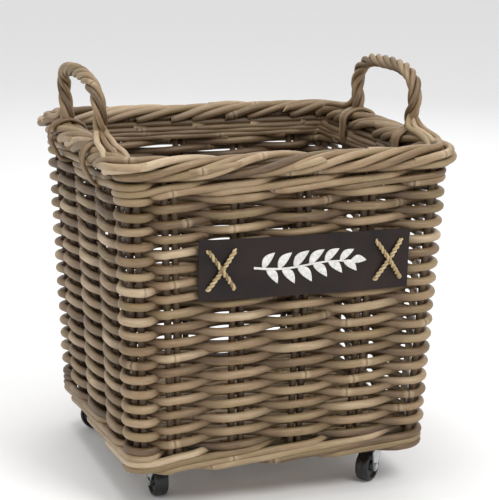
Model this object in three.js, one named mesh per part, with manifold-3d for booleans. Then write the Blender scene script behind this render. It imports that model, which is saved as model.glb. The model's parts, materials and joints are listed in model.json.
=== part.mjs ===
// Wicker log basket on four swivel casters.
// Millimetres, +Z up. The origin is on the floor under the middle of the basket, and the plaque faces -Y.
import * as THREE from "three";
import { mergeVertices } from "three/addons/utils/BufferGeometryUtils.js";
import Module from "manifold-3d";

const wasm = await Module();
wasm.setup();

// ---------------------------------------------------------------- driving dimensions

const CLEARANCE = 0.3; // between pieces that rest on or pass through each other

// Woven body. Widths are outside widths, and the plan is a square with rounded corners.
const FOOT_WIDTH = 435;
const WALL_FLARE = 37; // how much wider the wall is at its top
const WALL_TOP_WIDTH = FOOT_WIDTH + WALL_FLARE;
const CORNER_RADIUS = 36;
const WALL_THICKNESS = 30;
const FOOT_HEIGHT = 17;
const LOWER_WALE_HEIGHT = 10;
const WEAVE_HEIGHT = 357;
const UPPER_WALE_HEIGHT = 20;
const BORDER_HEIGHT = 34;
const BORDER_OVERHANG = 14; // how far the rim stands out past the wall under it
const BORDER_ROUNDING = 8;
const BAND_ROUNDING = 3; // edges of the foot and the wales

// Uprights: pairs of canes in the middle of the wall.
const CANE = 10;
const FRONT_FIRST_GAP = 44; // from a corner pair to the first pair of the front or back, at the foot
const FRONT_PITCH = 86.5;
const FRONT_PAIRS = 4;
const SIDE_PITCH = 113;
const SIDE_PAIRS = 3;

// Floor and caster battens.
const FLOOR_THICKNESS = 10;
const BATTEN_WIDTH = 46;
const BATTEN_THICKNESS = 16;
const BATTEN_CORNER = 3;

// Casters.
const WHEEL_DIAMETER = 44;
const SWIVEL_HEIGHT = 18; // top of the wheel to the top of the plate
const CASTER_HEIGHT = WHEEL_DIAMETER + SWIVEL_HEIGHT;
const FOOT_DROP = 4; // how far the foot's underside hangs below the top of the plate
const FOOT_CLEARANCE = CASTER_HEIGHT - FOOT_DROP;
const WHEEL_WIDTH = 20;
const TREAD_SHOULDER = 3; // bevel between a wheel's tread and its sides
const RIM_FLAT = 2.5; // width of the flat ring beside the tread
const WEB_DEPTH = 3; // how far a wheel's web is sunk between rim and hub
const TRAIL = 18; // swivel axis to axle
const PLATE_SIZE = 44;
const PLATE_THICKNESS = 2;
const PLATE_CORNER = 6;
const SCREW_SPACING = 31;
const SCREW_HOLE = 4.4;
const RACE_RADIUS = 15;
const RACE_HEIGHT = 6;
const FORK_THICKNESS = 2.2;
const FORK_BACK = 17; // from the swivel axis to the back of the fork's crown
const FORK_FRONT = 21; // the same, on the side that the wheel trails to
const FORK_SHOULDER_DEPTH = 5; // from the crown's top to where an ear starts to narrow
const FORK_WAIST_DEPTH = 10; // from the crown's top to the pull of its curved sides
const FORK_TIP = 7; // radius of the fork's ear round the axle
const AXLE_DIAMETER = 6;
const AXLE_HEAD = 10;
const AXLE_HEAD_THICKNESS = 1.6;
const KINGPIN_DIAMETER = 8;
const KINGPIN_HEAD = 13;
const KINGPIN_HEAD_THICKNESS = 2.4;
const HUB_LENGTH = 22;
const HUB_DIAMETER = 15;
const RUNNING_GAP = 0.4; // between a turning piece and what it turns on or beside

// Handles and their ties.
const ROPE = 20;
const HANDLE_STEPS = 28; // sections along a handle
const HANDLE_FOOT_SPREAD = 100; // from the middle of a side to a foot
const HANDLE_BULGE = 108; // the same, at mid height
const HANDLE_RISE = 84; // rim to the middle of the rope at the top of the arch
const HANDLE_LEAN = 7; // outwards, at the top
const TIE_WIDTH = 16;
const TIE_THICKNESS = 5;

// Plaque and its lashings.
const PLAQUE_WIDTH = 300;
const PLAQUE_HEIGHT = 83;
const PLAQUE_THICKNESS = 2;
const PLAQUE_BOW = 3; // how far its middle stands out past its ends
const PLAQUE_BOTTOM = 242; // above the underside of the foot, along the slope
const PLAQUE_OFFSET = 21; // to the right of the middle of the front
const PLAQUE_COLUMNS = 12; // flats that its bow is cut into
const CROSS_SPREAD = 119; // from the middle of the plaque to the middle of a lashing
const CROSS_WIDTH = 34; // between the holes of a lashing
const CROSS_HEIGHT = 50;
const LACE_HOLE = 6.4;
const TWINE = 5;
const LACE_DEPTH = 9; // how far a lashing goes back past the plaque
const LACE_SIDES = 8;

// What each arc is cut into.
const CORNER_STEPS = 4;
const SMALL_STEPS = 2; // corners of the uprights, ties and caster plates
const ROUND = 10;
const WHEEL_ROUND = 24;

// ---------------------------------------------------------------- materials

const material = (color, roughness, metalness) =>
  new THREE.MeshStandardMaterial({ color, roughness, metalness });
const CANE_GREY = material(0x9c8870, 0.75, 0);
const CANE_DARK = material(0x7d6a54, 0.8, 0);
const TIMBER = material(0xa98d63, 0.7, 0);
const PLAQUE_BROWN = material(0x2d2222, 0.5, 0.2);
const SEAGRASS = material(0xb89f78, 0.9, 0);
const ZINC = material(0xb4b7ba, 0.35, 1);
const BLACK_PLASTIC = material(0x17181a, 0.45, 0);

// ---------------------------------------------------------------- solids

// A geometry as a manifold-3d solid.
function solid(geometry) {
  const bare = geometry.index ? geometry.toNonIndexed() : geometry.clone();
  bare.deleteAttribute("normal");
  bare.deleteAttribute("uv");
  const merged = mergeVertices(bare, 1e-4);
  return new wasm.Manifold(
    new wasm.Mesh({
      numProp: 3,
      vertProperties: new Float32Array(merged.attributes.position.array),
      triVerts: new Uint32Array(merged.index.array),
    }),
  );
}

// A manifold-3d solid as a geometry.
function geometryOf(made) {
  const mesh = made.getMesh();
  const geometry = new THREE.BufferGeometry();
  geometry.setAttribute("position", new THREE.BufferAttribute(mesh.vertProperties, 3));
  geometry.setIndex(new THREE.BufferAttribute(mesh.triVerts, 1));
  geometry.computeVertexNormals();
  return geometry;
}

const joined = (...geometries) =>
  geometryOf(geometries.map(solid).reduce((all, next) => all.add(next)));

const cut = (geometry, ...tools) =>
  geometryOf(tools.map(solid).reduce((left, tool) => left.subtract(tool), solid(geometry)));

// An upright cylinder from z = low to z = high.
function rod(radius, low, high, sides = ROUND) {
  const geometry = new THREE.CylinderGeometry(radius, radius, high - low, sides);
  return geometry.rotateX(Math.PI / 2).translate(0, 0, (low + high) / 2);
}

// Extrudes a flat shape from z = low to z = high.
function slab(shape, low, high, curveSegments = CORNER_STEPS) {
  const options = { depth: high - low, bevelEnabled: false, curveSegments };
  return new THREE.ExtrudeGeometry(shape, options).translate(0, 0, low);
}

function roundedRectangle(halfX, halfY, radius) {
  const shape = new THREE.Shape();
  shape.absarc(halfX - radius, halfY - radius, radius, 0, Math.PI / 2);
  shape.absarc(radius - halfX, halfY - radius, radius, Math.PI / 2, Math.PI);
  shape.absarc(radius - halfX, radius - halfY, radius, Math.PI, 1.5 * Math.PI);
  shape.absarc(halfX - radius, radius - halfY, radius, 1.5 * Math.PI, 2 * Math.PI);
  return shape;
}

const roundedSquare = (half, radius) => roundedRectangle(half, half, radius);

// Moves every vertex by the vector that shift(vertex) returns.
function reshape(geometry, shift) {
  const places = geometry.attributes.position;
  const vertex = new THREE.Vector3();
  for (let i = 0; i < places.count; i++) {
    vertex.fromBufferAttribute(places, i);
    vertex.add(shift(vertex));
    places.setXYZ(i, vertex.x, vertex.y, vertex.z);
  }
  return geometry;
}

// ---------------------------------------------------------------- heights and slope of the body

const FOOT_Z = FOOT_CLEARANCE;
const LOWER_WALE_Z = FOOT_Z + FOOT_HEIGHT;
const WEAVE_Z = LOWER_WALE_Z + LOWER_WALE_HEIGHT;
const UPPER_WALE_Z = WEAVE_Z + WEAVE_HEIGHT;
const BORDER_Z = UPPER_WALE_Z + UPPER_WALE_HEIGHT;
const RIM_Z = BORDER_Z + BORDER_HEIGHT;
const SLOPE = (WALL_TOP_WIDTH - FOOT_WIDTH) / 2 / (BORDER_Z - FOOT_Z);

const growth = (z) => SLOPE * (z - FOOT_Z);
const outerHalf = (z) => FOOT_WIDTH / 2 + growth(z);
const innerHalf = (z) => outerHalf(z) - WALL_THICKNESS;
const INNER_RADIUS = CORNER_RADIUS - WALL_THICKNESS;

// Slopes each wall of a straight-sided piece that was drawn at the foot's size.
const spread = (geometry) =>
  reshape(geometry, ({ x, y, z }) => {
    const out = growth(z);
    return new THREE.Vector3(Math.sign(x) * out, Math.sign(y) * out, 0);
  });

// The solid rounded square block that a band of the body is cut from.
const block = (half, radius, low, high) => spread(slab(roundedSquare(half, radius), low, high));

// A straight-sided band with softly rounded edges.
function roundedBand(outside, outsideRadius, inside, insideRadius, low, high, rounding) {
  const shape = roundedSquare(outside - rounding, outsideRadius - rounding);
  shape.holes.push(roundedSquare(inside + rounding, insideRadius + rounding));
  const options = {
    depth: high - low - 2 * rounding,
    curveSegments: CORNER_STEPS,
    bevelThickness: rounding,
    bevelSize: rounding,
    bevelSegments: 2,
  };
  return new THREE.ExtrudeGeometry(shape, options).translate(0, 0, low + rounding);
}

// ---------------------------------------------------------------- uprights

const STAKE_INSET = WALL_THICKNESS / 2;
const STAKE_HALF = FOOT_WIDTH / 2 - STAKE_INSET; // plan half-size of the line that the uprights stand on
const STAKE_RADIUS = CORNER_RADIUS - STAKE_INSET;
const CORNER_PULL = STAKE_RADIUS * (1 - Math.SQRT1_2);

// The foot of each pair: its place, and the direction that its two canes stand side by side in.
function pairPlaces() {
  const places = [];
  const corner = STAKE_HALF - CORNER_PULL;
  for (let side = 0; side < 4; side++) {
    const turn = (side * Math.PI) / 2;
    const place = (x, y, along) => {
      const at = new THREE.Vector2(x, y).rotateAround(new THREE.Vector2(), turn);
      places.push({ x: at.x, y: at.y, turn: turn + along });
    };
    place(-corner, -corner, -Math.PI / 4);
    const alongFront = side % 2 === 0;
    const count = alongFront ? FRONT_PAIRS : SIDE_PAIRS;
    for (let i = 0; i < count; i++) {
      const x = alongFront
        ? -corner + FRONT_FIRST_GAP + i * FRONT_PITCH
        : (i - (count - 1) / 2) * SIDE_PITCH;
      place(x, -STAKE_HALF, 0);
    }
  }
  return places;
}

// A pair of canes, or with a margin the slot that the pair passes through. It leans out with the wall.
function stakePair({ x, y, turn }, margin, low, high) {
  const section = roundedRectangle(CANE + margin, CANE / 2 + margin, CANE / 2 + margin - 0.01);
  const pair = slab(section, low, high, SMALL_STEPS).rotateZ(turn).translate(x, y, 0);
  return reshape(pair, (vertex) => {
    const out = growth(vertex.z) / STAKE_HALF;
    return new THREE.Vector3(x * out, y * out, 0);
  });
}

const PAIRS = pairPlaces();
const STAKE_LOW = LOWER_WALE_Z + 2 * CLEARANCE;
const STAKE_HIGH = BORDER_Z - CLEARANCE;
const slots = (low, high) => PAIRS.map((pair) => stakePair(pair, CLEARANCE, low - 1, high + 1));

// ---------------------------------------------------------------- woven body

// Slots through a side wall, just under the upper wale, that the handle ties pass through.
const TIE_LOW = UPPER_WALE_Z - TIE_THICKNESS - CLEARANCE;

function tieSlots() {
  const wide = TIE_WIDTH + 2 * CLEARANCE;
  const deep = 2 * (outerHalf(RIM_Z) + BORDER_OVERHANG);
  const high = TIE_THICKNESS + 2 * CLEARANCE + 1;
  return [-1, 1].map((end) =>
    new THREE.BoxGeometry(deep, wide, high).translate(
      0,
      end * HANDLE_FOOT_SPREAD,
      TIE_LOW - CLEARANCE + high / 2,
    ),
  );
}

// A plain band of the wall with the uprights' slots through it.
function slottedBand(low, high, ...tools) {
  const outside = block(FOOT_WIDTH / 2, CORNER_RADIUS, low, high);
  const inside = block(FOOT_WIDTH / 2 - WALL_THICKNESS, INNER_RADIUS, low - 1, high + 1);
  return cut(outside, inside, ...slots(low, high), ...tools);
}

function footBorder() {
  const half = FOOT_WIDTH / 2;
  const inside = half - WALL_THICKNESS;
  const top = LOWER_WALE_Z - CLEARANCE;
  return spread(
    roundedBand(half, CORNER_RADIUS, inside, INNER_RADIUS, FOOT_Z, top, BAND_ROUNDING),
  );
}

const lowerWale = () => slottedBand(LOWER_WALE_Z, WEAVE_Z - CLEARANCE);
const wovenWall = () =>
  slottedBand(WEAVE_Z, UPPER_WALE_Z - CLEARANCE, ...tieSlots(), ...laceSockets());
const upperWale = () => slottedBand(UPPER_WALE_Z, BORDER_Z - CLEARANCE);

const BORDER_OUTER = outerHalf(BORDER_Z) + BORDER_OVERHANG;
const BORDER_INNER = innerHalf(BORDER_Z);

function topBorder() {
  const radius = CORNER_RADIUS + BORDER_OVERHANG;
  return roundedBand(
    BORDER_OUTER,
    radius,
    BORDER_INNER,
    INNER_RADIUS,
    BORDER_Z,
    RIM_Z,
    BORDER_ROUNDING,
  );
}

// ---------------------------------------------------------------- handles

// The middle line of the right-hand handle, from its front foot to its back foot: upright at the
// feet, widest at mid height, and closed by a rounded arch that leans out a little.
const HANDLE_X = (BORDER_OUTER + BORDER_INNER) / 2;
const HANDLE_FOOT_Z = RIM_Z + TIE_THICKNESS + 2 * CLEARANCE;
const SHOULDER_SPREAD = 0.9; // of the bulge
const CROWN_SPREAD = 0.58;

function handlePath() {
  const rise = RIM_Z + HANDLE_RISE - HANDLE_FOOT_Z;
  const point = ([y, share]) =>
    new THREE.Vector3(HANDLE_X + HANDLE_LEAN * share ** 2, y, HANDLE_FOOT_Z + rise * share);
  const half = [
    [HANDLE_FOOT_SPREAD, 0],
    [HANDLE_FOOT_SPREAD, 0.1],
    [HANDLE_BULGE, 0.45],
    [HANDLE_BULGE * SHOULDER_SPREAD, 0.76],
    [HANDLE_BULGE * CROWN_SPREAD, 0.95],
  ];
  const front = half.map(([y, share]) => point([-y, share]));
  const back = half.map(point).reverse();
  return new THREE.CatmullRomCurve3([...front, point([0, 1]), ...back]);
}

function handle() {
  const section = new THREE.Shape();
  section.absarc(0, 0, ROPE / 2, 0, 2 * Math.PI);
  const options = { extrudePath: handlePath(), steps: HANDLE_STEPS, curveSegments: ROUND / 2 };
  return new THREE.ExtrudeGeometry(section, options);
}

// A flat loop round the rim and the upper wale, drawn in the XZ plane on the right-hand side.
function handleTie(end) {
  const inside = innerHalf(TIE_LOW) - CLEARANCE;
  const outside = BORDER_OUTER + CLEARANCE;
  const low = TIE_LOW + TIE_THICKNESS;
  const high = RIM_Z + CLEARANCE;
  const loop = (grown, radius) =>
    roundedRectangle((outside - inside) / 2 + grown, (high - low) / 2 + grown, radius);
  const band = loop(TIE_THICKNESS, TIE_THICKNESS);
  band.holes.push(loop(0, CLEARANCE));
  return slab(band, -TIE_WIDTH / 2, TIE_WIDTH / 2, SMALL_STEPS)
    .rotateX(Math.PI / 2)
    .translate((inside + outside) / 2, end * HANDLE_FOOT_SPREAD, (low + high) / 2);
}

// ---------------------------------------------------------------- plaque and lashings

// Places a piece that was drawn flat, face up, with its origin at the middle of the plaque's back edge,
// against the sloping front wall.
function onFront(geometry) {
  const middle = FOOT_Z + PLAQUE_BOTTOM + PLAQUE_HEIGHT / 2;
  return geometry
    .rotateX(Math.PI / 2 + Math.atan(SLOPE))
    .translate(PLAQUE_OFFSET, -outerHalf(middle) - 2 * CLEARANCE, middle);
}

const LACE_HOLES = [-1, 1].flatMap((side) =>
  [-1, 1].flatMap((across) =>
    [-1, 1].map((up) => ({
      side,
      x: side * CROSS_SPREAD + (across * CROSS_WIDTH) / 2,
      y: (up * CROSS_HEIGHT) / 2,
    })),
  ),
);

const plaqueBow = (x) => PLAQUE_BOW * (1 - (2 * x / PLAQUE_WIDTH) ** 2);

function plaque() {
  const edge = (lift) =>
    Array.from({ length: PLAQUE_COLUMNS + 1 }, (_, i) => {
      const x = (i / PLAQUE_COLUMNS - 0.5) * PLAQUE_WIDTH;
      return new THREE.Vector2(x, plaqueBow(x) + lift);
    });
  const outline = new THREE.Shape([...edge(PLAQUE_THICKNESS).reverse(), ...edge(0)]);
  const plate = slab(outline, -PLAQUE_HEIGHT / 2, PLAQUE_HEIGHT / 2).rotateX(Math.PI / 2);
  const front = PLAQUE_BOW + PLAQUE_THICKNESS + 1;
  const holes = LACE_HOLES.map(({ x, y }) =>
    rod(LACE_HOLE / 2, -1, front, LACE_SIDES).translate(x, y, 0),
  );
  return cut(plate, ...holes);
}

// Blind sockets in the wall behind the plaque, which take the ends of the lashings.
function laceSockets() {
  return LACE_HOLES.map(({ x, y }) =>
    onFront(rod(LACE_HOLE / 2, -LACE_DEPTH - 1, PLAQUE_BOW, LACE_SIDES).translate(x, y, 0)),
  );
}

// Two crossed strands of twine on the plaque's face, with an end through each of four holes.
function lashing(side) {
  const holes = LACE_HOLES.filter((hole) => hole.side === side);
  const face = plaqueBow(CROSS_SPREAD - CROSS_WIDTH / 2) + PLAQUE_THICKNESS;
  const height = face + TWINE / 2 + CLEARANCE;
  const ends = holes.map(({ x, y }) =>
    rod(TWINE / 2, -LACE_DEPTH, height, LACE_SIDES).translate(x, y, 0),
  );
  const strand = ([a, b]) => {
    const along = Math.atan2(b.y - a.y, b.x - a.x);
    const length = Math.hypot(b.x - a.x, b.y - a.y) + TWINE;
    return rod(TWINE / 2, -length / 2, length / 2, LACE_SIDES)
      .rotateY(Math.PI / 2)
      .rotateZ(along)
      .translate((a.x + b.x) / 2, (a.y + b.y) / 2, height);
  };
  const [a, b, c, d] = holes;
  return joined(strand([a, d]), strand([b, c]), ...ends);
}

// ---------------------------------------------------------------- floor and battens

const BATTEN_Z = CASTER_HEIGHT + CLEARANCE;
const FLOOR_Z = BATTEN_Z + BATTEN_THICKNESS + CLEARANCE;
const INSIDE_FOOT = FOOT_WIDTH / 2 - WALL_THICKNESS - CLEARANCE;

// A batten's outer edge lies where the rounding of the foot's inner corners starts, and a caster's
// swivel axis is on its middle line, as far in from each side.
const SWIVEL_SPREAD = INSIDE_FOOT - INNER_RADIUS - BATTEN_WIDTH / 2;

function floorMat() {
  const outline = roundedSquare(INSIDE_FOOT, INNER_RADIUS);
  return slab(outline, FLOOR_Z, FLOOR_Z + FLOOR_THICKNESS);
}

function batten(end) {
  const outline = roundedRectangle(INSIDE_FOOT, BATTEN_WIDTH / 2, BATTEN_CORNER);
  const piece = slab(outline, BATTEN_Z, BATTEN_Z + BATTEN_THICKNESS);
  return piece.translate(0, end * SWIVEL_SPREAD, 0);
}

// ---------------------------------------------------------------- casters

// A caster is drawn round its own swivel axis, with its wheel trailing along +X.
const WHEEL_Z = WHEEL_DIAMETER / 2;
const PLATE_Z = CASTER_HEIGHT - PLATE_THICKNESS;
const RACE_Z = PLATE_Z - RACE_HEIGHT;
const CROWN_TOP = RACE_Z - RUNNING_GAP;
const CROWN_Z = CROWN_TOP - FORK_THICKNESS;
const EAR_INSIDE = HUB_LENGTH / 2 + RUNNING_GAP;
const EAR_OUTSIDE = EAR_INSIDE + FORK_THICKNESS;

function topPlate() {
  const plate = slab(roundedSquare(PLATE_SIZE / 2, PLATE_CORNER), PLATE_Z, CASTER_HEIGHT, SMALL_STEPS);
  const race = rod(RACE_RADIUS, RACE_Z, PLATE_Z + 1, 2 * ROUND);
  const centre = rod(KINGPIN_DIAMETER / 2 + CLEARANCE, RACE_Z - 1, CASTER_HEIGHT + 1);
  const screws = [-1, 1].flatMap((x) =>
    [-1, 1].map((y) =>
      rod(SCREW_HOLE / 2, PLATE_Z - 1, CASTER_HEIGHT + 1, 6).translate(
        (x * SCREW_SPACING) / 2,
        (y * SCREW_SPACING) / 2,
        0,
      ),
    ),
  );
  return cut(joined(plate, race), centre, ...screws);
}

// The rivet through the plate and the fork's crown.
function kingpin() {
  const low = CROWN_Z - RUNNING_GAP - KINGPIN_HEAD_THICKNESS;
  const shank = rod(KINGPIN_DIAMETER / 2, low + 1, CASTER_HEIGHT - CLEARANCE);
  const head = rod(KINGPIN_HEAD / 2, low, low + KINGPIN_HEAD_THICKNESS);
  return joined(shank, head);
}

// One ear of the fork, as a flat profile seen along the axle: a shoulder under the crown that
// narrows to a round tip about the axle.
function earShape() {
  const shoulder = CROWN_TOP - FORK_SHOULDER_DEPTH;
  const waist = CROWN_TOP - FORK_WAIST_DEPTH;
  const shape = new THREE.Shape();
  shape.moveTo(-FORK_BACK, CROWN_TOP);
  shape.lineTo(-FORK_BACK, shoulder);
  shape.quadraticCurveTo(0, waist, TRAIL - FORK_TIP, WHEEL_Z);
  shape.absarc(TRAIL, WHEEL_Z, FORK_TIP, Math.PI, 2 * Math.PI);
  shape.quadraticCurveTo(TRAIL + FORK_TIP, waist, FORK_FRONT, shoulder);
  shape.lineTo(FORK_FRONT, CROWN_TOP);
  return shape;
}

function fork() {
  const ears = [-1, 1].map((side) =>
    slab(earShape(), -FORK_THICKNESS / 2, FORK_THICKNESS / 2)
      .rotateX(Math.PI / 2)
      .translate(0, (side * (EAR_INSIDE + EAR_OUTSIDE)) / 2, 0),
  );
  const length = FORK_BACK + FORK_FRONT;
  const outline = roundedRectangle(length / 2, EAR_OUTSIDE - CLEARANCE, FORK_THICKNESS);
  const crown = slab(outline, CROWN_Z, CROWN_TOP, SMALL_STEPS).translate(
    FORK_FRONT - length / 2,
    0,
    0,
  );
  const pivot = rod(KINGPIN_DIAMETER / 2 + RUNNING_GAP, CROWN_Z - 1, CROWN_TOP + 1);
  const axleHole = rod(AXLE_DIAMETER / 2 + CLEARANCE, -EAR_OUTSIDE - 1, EAR_OUTSIDE + 1)
    .rotateX(Math.PI / 2)
    .translate(TRAIL, 0, WHEEL_Z);
  return cut(joined(crown, ...ears), pivot, axleHole);
}

// The riveted axle: a shank with a head outside each ear.
function axle() {
  const under = EAR_OUTSIDE + CLEARANCE;
  const over = under + AXLE_HEAD_THICKNESS;
  const shank = rod(AXLE_DIAMETER / 2, -under - 1, under + 1);
  const heads = [rod(AXLE_HEAD / 2, -over, -under), rod(AXLE_HEAD / 2, under, over)];
  return joined(shank, ...heads).rotateX(Math.PI / 2).translate(TRAIL, 0, WHEEL_Z);
}

// A wheel with a raised rim, a sunk web and a hub that runs on the axle.
function wheel() {
  const r = WHEEL_DIAMETER / 2;
  const w = WHEEL_WIDTH / 2;
  const bore = AXLE_DIAMETER / 2 + RUNNING_GAP;
  const rimInside = r - TREAD_SHOULDER - RIM_FLAT;
  const half = [
    [bore, HUB_LENGTH / 2],
    [HUB_DIAMETER / 2, HUB_LENGTH / 2],
    [HUB_DIAMETER / 2, w - WEB_DEPTH],
    [rimInside - 1, w - WEB_DEPTH],
    [rimInside, w],
    [r - TREAD_SHOULDER, w],
    [r, w - TREAD_SHOULDER],
  ];
  const mirrored = half.map(([x, y]) => [x, -y]).reverse();
  const profile = [...half, ...mirrored, half[0]].map(([x, y]) => new THREE.Vector2(x, -y));
  return new THREE.LatheGeometry(profile, WHEEL_ROUND).translate(TRAIL, 0, WHEEL_Z);
}

// ---------------------------------------------------------------- assembly

const basket = new THREE.Group();

function add(name, geometry, look, group = basket) {
  const mesh = new THREE.Mesh(geometry, look);
  mesh.name = name;
  group.add(mesh);
}

add("foot_border", footBorder(), CANE_GREY);
add("lower_wale", lowerWale(), CANE_DARK);
add("woven_wall", wovenWall(), CANE_GREY);
add("upper_wale", upperWale(), CANE_DARK);
add("top_border", topBorder(), CANE_GREY);

PAIRS.forEach((pair, i) => {
  const number = String(i + 1).padStart(2, "0");
  add("stake_pair_" + number, stakePair(pair, 0, STAKE_LOW, STAKE_HIGH), CANE_DARK);
});

for (const [side, turn] of [["right", 0], ["left", Math.PI]]) {
  const group = new THREE.Group();
  group.rotation.z = turn;
  const front = turn ? 1 : -1;
  add(side + "_handle", handle(), CANE_GREY, group);
  add(side + "_handle_front_tie", handleTie(front), CANE_GREY, group);
  add(side + "_handle_back_tie", handleTie(-front), CANE_GREY, group);
  basket.add(group);
}

add("plaque", onFront(plaque()), PLAQUE_BROWN);
add("left_lashing", onFront(lashing(-1)), SEAGRASS);
add("right_lashing", onFront(lashing(1)), SEAGRASS);

add("floor_mat", floorMat(), CANE_GREY);
add("front_batten", batten(-1), TIMBER);
add("rear_batten", batten(1), TIMBER);

// Each caster's corner, and the way its wheel trails, in degrees from +X.
const CASTERS = [
  ["front_left", -1, -1, 92],
  ["front_right", 1, -1, 223],
  ["rear_left", -1, 1, 150],
  ["rear_right", 1, 1, 20],
];

for (const [corner, x, y, heading] of CASTERS) {
  const caster = new THREE.Group();
  caster.position.set(x * SWIVEL_SPREAD, y * SWIVEL_SPREAD, 0);
  add(corner + "_top_plate", topPlate(), ZINC, caster);
  add(corner + "_kingpin", kingpin(), ZINC, caster);
  const swivel = new THREE.Group();
  swivel.rotation.z = THREE.MathUtils.degToRad(heading);
  add(corner + "_fork", fork(), ZINC, swivel);
  add(corner + "_axle", axle(), ZINC, swivel);
  add(corner + "_wheel", wheel(), BLACK_PLASTIC, swivel);
  caster.add(swivel);
  basket.add(caster);
}

export default basket;
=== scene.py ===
# %% [markdown]
# # A square wicker log basket on casters
#
# This lesson dresses a finished design. The design gives every size, joint and place. Here the plain
# solids that stand for basketwork are taken away, and real canes are woven in their room.
# Everything is in metres, with Z up. The front, with the plaque, faces -Y.

# %% The frame
import json
import math

import bmesh
import bpy
import numpy as np
from mathutils import Matrix, Vector


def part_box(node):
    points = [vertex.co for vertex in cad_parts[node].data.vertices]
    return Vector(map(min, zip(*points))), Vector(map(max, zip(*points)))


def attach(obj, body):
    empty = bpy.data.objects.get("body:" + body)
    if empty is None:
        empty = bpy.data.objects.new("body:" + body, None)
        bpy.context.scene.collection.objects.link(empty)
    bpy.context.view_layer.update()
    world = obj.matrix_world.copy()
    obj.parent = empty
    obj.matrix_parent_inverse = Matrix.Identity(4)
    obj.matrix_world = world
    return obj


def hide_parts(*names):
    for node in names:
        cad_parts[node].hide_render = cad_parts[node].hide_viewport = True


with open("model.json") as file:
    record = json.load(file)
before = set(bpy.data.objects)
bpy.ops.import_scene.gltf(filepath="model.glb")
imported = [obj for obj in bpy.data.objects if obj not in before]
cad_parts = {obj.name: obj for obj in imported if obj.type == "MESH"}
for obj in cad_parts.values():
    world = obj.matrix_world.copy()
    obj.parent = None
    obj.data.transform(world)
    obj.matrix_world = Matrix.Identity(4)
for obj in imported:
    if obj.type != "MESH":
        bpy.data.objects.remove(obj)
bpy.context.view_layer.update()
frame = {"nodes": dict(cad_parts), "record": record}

MM = 0.001
TURN = 2 * math.pi

# %% [markdown]
# ## Camera and light
#
# The basket is seen from its front left, from a little above the rim, through a long lens that
# keeps its sides nearly parallel. Big soft lamps and a pale surround stand in for a studio.

# %% Camera
CAMERA_PLACE = Vector((-0.7717, -2.3262, 0.8744))
CAMERA_YAW = math.radians(18.81)  # to the right of +Y
CAMERA_PITCH = math.radians(12.95)  # below the horizon
CAMERA_ROLL = math.radians(0.67)
camera = bpy.data.objects.new("camera", bpy.data.cameras.new("camera"))
camera.data.lens = 123.4
camera.data.clip_end = 100
camera.matrix_world = (
    Matrix.Translation(CAMERA_PLACE)
    @ Matrix.Rotation(-CAMERA_YAW, 4, "Z")
    @ Matrix.Rotation(math.pi / 2 - CAMERA_PITCH, 4, "X")
    @ Matrix.Rotation(CAMERA_ROLL, 4, "Z")
)
bpy.context.scene.collection.objects.link(camera)
bpy.context.scene.camera = camera
print("camera:", round(CAMERA_PLACE.length, 2), "m away, lens", round(camera.data.lens, 1), "mm")


# %% Lamps and surround
def soft_lamp(name, place, aim, size, power):
    lamp = bpy.data.objects.new(name, bpy.data.lights.new(name, "AREA"))
    lamp.data.size = size
    lamp.data.energy = power
    lamp.location = place
    lamp.rotation_euler = (Vector(place) - Vector(aim)).to_track_quat("Z", "Y").to_euler()
    bpy.context.scene.collection.objects.link(lamp)


MIDDLE = (0, 0, 0.3)
soft_lamp("key", (0.9, -2.4, 2.8), MIDDLE, 1.2, 54)
soft_lamp("fill", (-2.8, -1.2, 1.9), MIDDLE, 1.8, 8)
soft_lamp("top", (-0.3, 0.2, 3.0), MIDDLE, 1.4, 34)
soft_lamp("rim_light", (1.6, 2.6, 1.8), MIDDLE, 1.6, 10)
world = bpy.data.worlds.new("surround")
world.use_nodes = True
world.node_tree.nodes["Background"].inputs["Color"].default_value = (1, 1, 1, 1)
world.node_tree.nodes["Background"].inputs["Strength"].default_value = 0.85
bpy.context.scene.world = world
bpy.context.scene.view_settings.view_transform = "Standard"
print("lamps: key, fill, top and rim light, in a white surround")

# %% [markdown]
# ## A small language for finishes
#
# A finish is a graph of nodes. Written one node at a time it hides its own sense, so a node's output
# is wrapped here in a class that knows plus, minus and times. Then a mask reads as the sum it is.


# %% Shader maths
class Field:
    """A number that varies over a surface: one output of a node."""

    def __init__(self, finish, socket):
        self.finish = finish
        self.socket = socket

    def maths(self, operation, first, second=0.0):
        settings = {"operation": operation}
        return self.finish.node("ShaderNodeMath", settings, {0: first, 1: second})

    def __add__(self, other):
        return self.maths("ADD", self, other)

    def __radd__(self, other):
        return self.maths("ADD", other, self)

    def __sub__(self, other):
        return self.maths("SUBTRACT", self, other)

    def __rsub__(self, other):
        return self.maths("SUBTRACT", other, self)

    def __mul__(self, other):
        return self.maths("MULTIPLY", self, other)

    def __rmul__(self, other):
        return self.maths("MULTIPLY", other, self)

    def __abs__(self):
        return self.maths("ABSOLUTE", self)


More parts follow.
